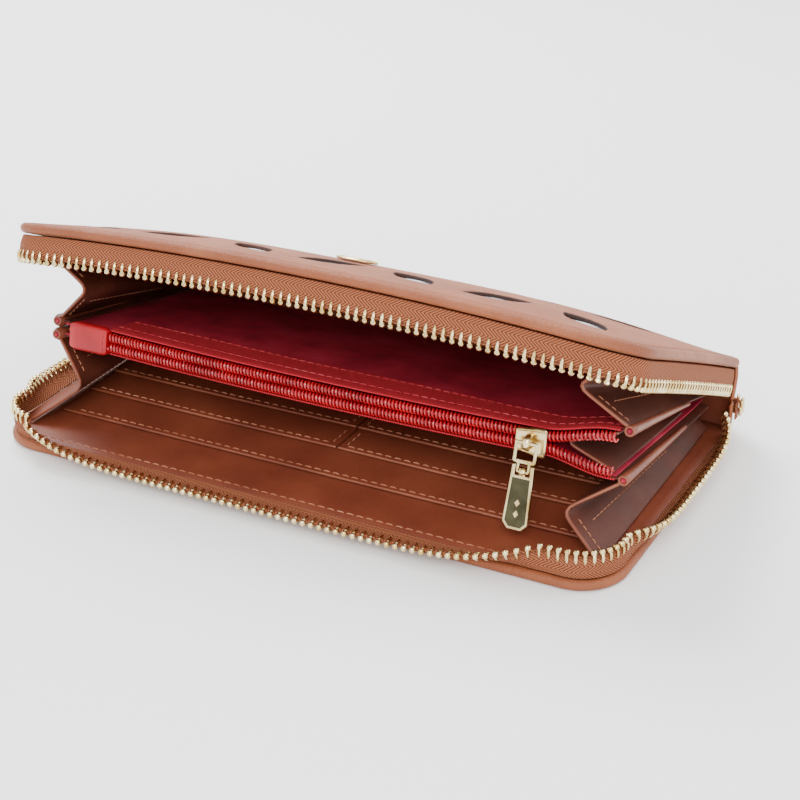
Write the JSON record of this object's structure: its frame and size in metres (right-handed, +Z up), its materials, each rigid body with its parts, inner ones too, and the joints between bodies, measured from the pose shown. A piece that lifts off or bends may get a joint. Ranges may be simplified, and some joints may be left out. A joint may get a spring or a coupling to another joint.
{
  "type": "zip around wallet",
  "caption": "Long zip around wallet lying open: domed cut-out lid, leather card rows in the base and a zipped coin pocket held between folding gussets.",
  "frame": {"origin": "centre of the flat underside that the wallet rests on", "axes": "+X along the wallet's length, -Y towards the mouth, +Y towards the spine, +Z up"},
  "size_m": [0.2058, 0.116, 0.0681],
  "materials": {
    "outer_leather": "fine grained satin, tan",
    "patent_inlay": "glossy patent, grey blue",
    "inner_leather": "smooth satin, dark rust brown",
    "stiffener": "matt board",
    "zip_tape": "tan herringbone weave",
    "gold_metal": "polished pale gold",
    "red_fabric": "crimson lining fabric",
    "red_tape": "bright red woven tape",
    "red_coil": "red nylon coil",
    "red_leather": "smooth red leather"
  },
  "bodies": {
    "base": {"base_cover": "outer_leather", "base_piping": "outer_leather", "base_board": "stiffener", "base_lining": "inner_leather", "slip_pocket": "inner_leather", "card_row_1": "inner_leather", "card_row_2": "inner_leather", "card_row_3": "inner_leather", "base_zip_tape": "zip_tape", "base_zip_teeth": "gold_metal", "base_zip_stop": "gold_metal", "spine_lower": "outer_leather", "zip_end_chain": "gold_metal", "zip_end_tape": "zip_tape", "gusset_right_lower": "inner_leather", "gusset_left_lower": "inner_leather"},
    "coin_pocket": {"coin_wall_upper": "red_fabric", "coin_wall_lower": "red_fabric", "coin_tape_upper": "red_tape", "coin_tape_lower": "red_tape", "coin_coil_upper": "red_coil", "coin_coil_lower": "red_coil", "coin_end_tab": "red_leather", "gusset_right_middle": "inner_leather", "gusset_left_middle": "inner_leather", "gusset_right_upper": "inner_leather", "gusset_left_upper": "inner_leather"},
    "lid": {"lid_cover": "outer_leather", "lid_inlay": "patent_inlay", "lid_board": "stiffener", "lid_lining": "inner_leather", "lid_piping": "outer_leather", "lid_zip_tape": "zip_tape", "lid_zip_teeth": "gold_metal", "lid_zip_stop": "gold_metal", "spine_upper": "outer_leather", "lid_emblem": "gold_metal"},
    "coin_slider": {"coin_slider_body": "gold_metal"},
    "coin_pull": {"coin_pull_link": "gold_metal"},
    "coin_plate": {"coin_pull_plate": "gold_metal"},
    "main_slider": {"main_slider_body": "gold_metal"},
    "main_pull": {"main_pull_link": "gold_metal"},
    "main_plate": {"main_pull_plate": "gold_metal"}
  },
  "joints": [
    {"name": "pocket_swing", "type": "hinge", "parent": "base", "child": "coin_pocket", "pos_m": [0, 0.0515, 0.012], "axis": [-1, 0, 0], "range_deg": [-11.5, 1], "deforming": ["gusset_right_lower", "gusset_left_lower"]},
    {"name": "lid_open", "type": "hinge", "parent": "coin_pocket", "child": "lid", "pos_m": [0, 0.0515, 0.012], "axis": [-1, 0, 0], "range_deg": [-12.75, 12], "deforming": ["gusset_right_upper", "gusset_left_upper"]},
    {"name": "coin_zip", "type": "slide", "parent": "coin_pocket", "child": "coin_slider", "axis": [1, 0, 0], "range_m": [-0.123, 0]},
    {"name": "coin_pull_swing", "type": "hinge", "parent": "coin_slider", "child": "coin_pull", "pos_m": [0.065, -0.0295, 0.02847], "axis": [1, 0, 0], "range_deg": [-146, 16]},
    {"name": "coin_plate_swing", "type": "hinge", "parent": "coin_pull", "child": "coin_plate", "pos_m": [0.065, -0.03189, 0.0211], "axis": [1, 0, 0], "range_deg": [-14, 122]},
    {"name": "main_zip", "type": "slide", "parent": "base", "child": "main_slider", "axis": [1, 0, 0], "range_m": [-0.009, 0]},
    {"name": "main_pull_swing", "type": "hinge", "parent": "main_slider", "child": "main_pull", "pos_m": [0.088, 0.0581, 0.0106], "axis": [0, 0, -1], "range_deg": [0, 150]},
    {"name": "main_plate_swing", "type": "hinge", "parent": "main_pull", "child": "main_plate", "pos_m": [0.08025, 0.0581, 0.0106], "axis": [0, 0, -1], "range_deg": [0, 30]}
  ],
  "couplings": [
    {"joint": "coin_pull_swing", "follows": "pocket_swing", "ratio": 12.25},
    {"joint": "coin_plate_swing", "follows": "pocket_swing", "ratio": -10.25}
  ]
}
